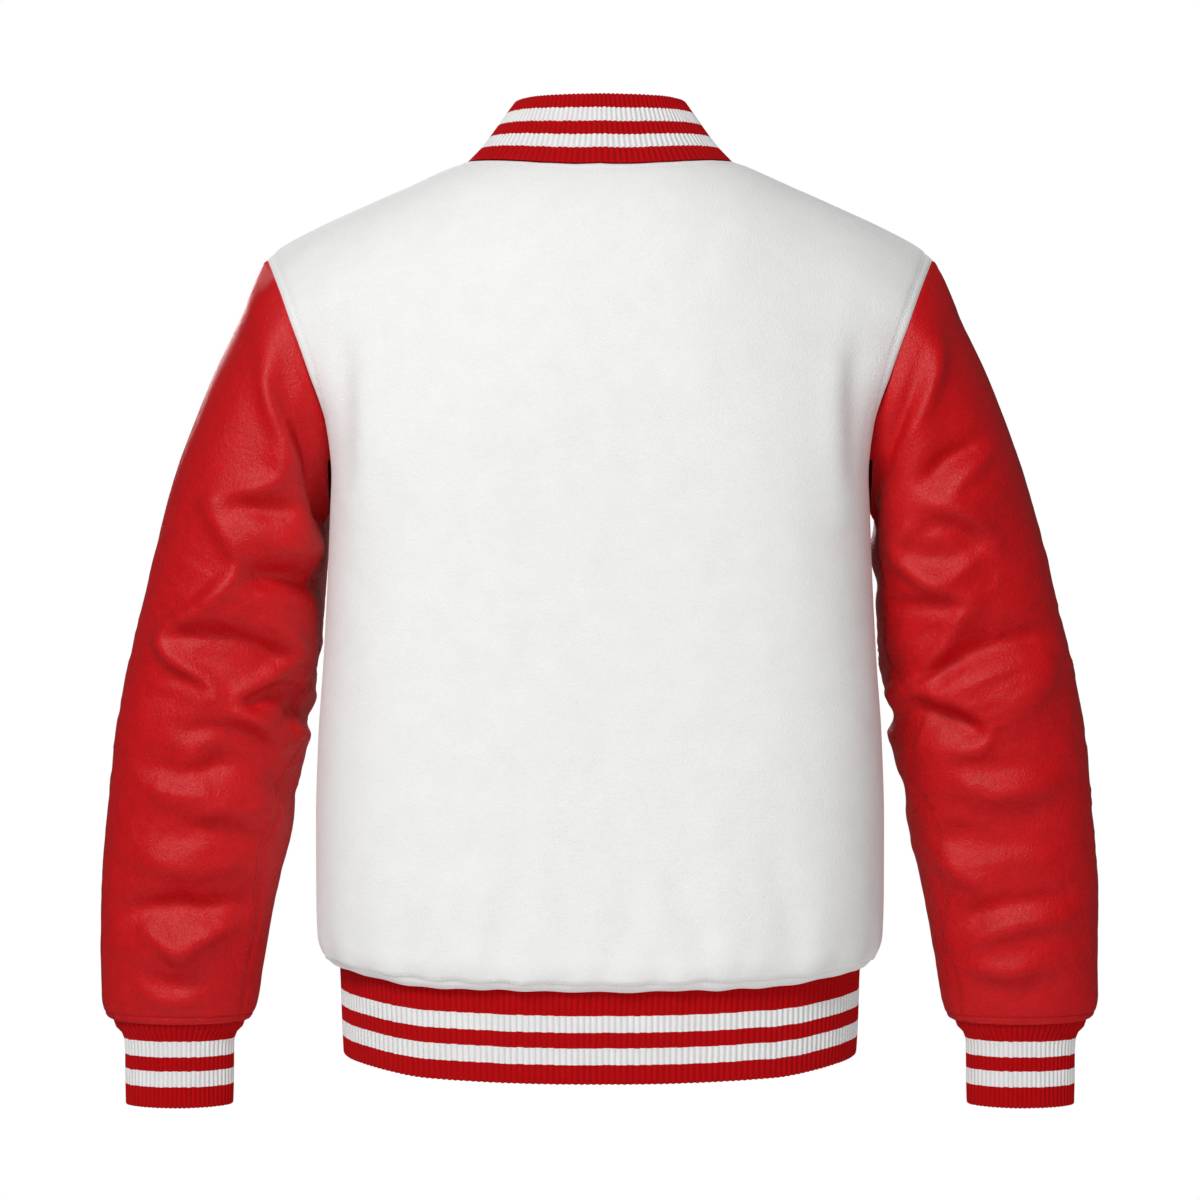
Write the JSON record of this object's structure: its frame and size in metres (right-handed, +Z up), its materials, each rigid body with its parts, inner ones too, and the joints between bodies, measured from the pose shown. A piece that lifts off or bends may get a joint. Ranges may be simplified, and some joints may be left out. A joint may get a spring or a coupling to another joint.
{
  "type": "varsity jacket",
  "caption": "Hollow snap-front jacket with a smooth wool body, creased leather sleeves, and a striped rib-knit stand collar, hem band and cuffs.",
  "frame": {"origin": "where the wearer's shoulders carry the jacket: on its centre plane, at mid depth, level with the inner ends of the shoulder seams", "axes": "+Z up, -Y out of the jacket's front, +X towards the wearer's left sleeve"},
  "size_m": [0.7575, 0.2791, 0.7555],
  "materials": {
    "wool": "felted white melton wool, matt with a short nap",
    "leather": "soft red leather, fine grain, low sheen",
    "knit": "red rib knit with two white stripes, matt",
    "snap_metal": "plain nickel-coloured snap caps"
  },
  "bodies": {
    "root": {"back": "wool", "front_left": "wool", "front_right": "wool", "sleeve_left": "leather", "sleeve_right": "leather", "collar": "knit", "hem_band": "knit", "cuff_left": "knit", "cuff_right": "knit", "snap_1": "snap_metal", "snap_2": "snap_metal", "snap_3": "snap_metal", "snap_4": "snap_metal", "snap_5": "snap_metal", "snap_6": "snap_metal", "snap_7": "snap_metal"}
  },
  "joints": []
}
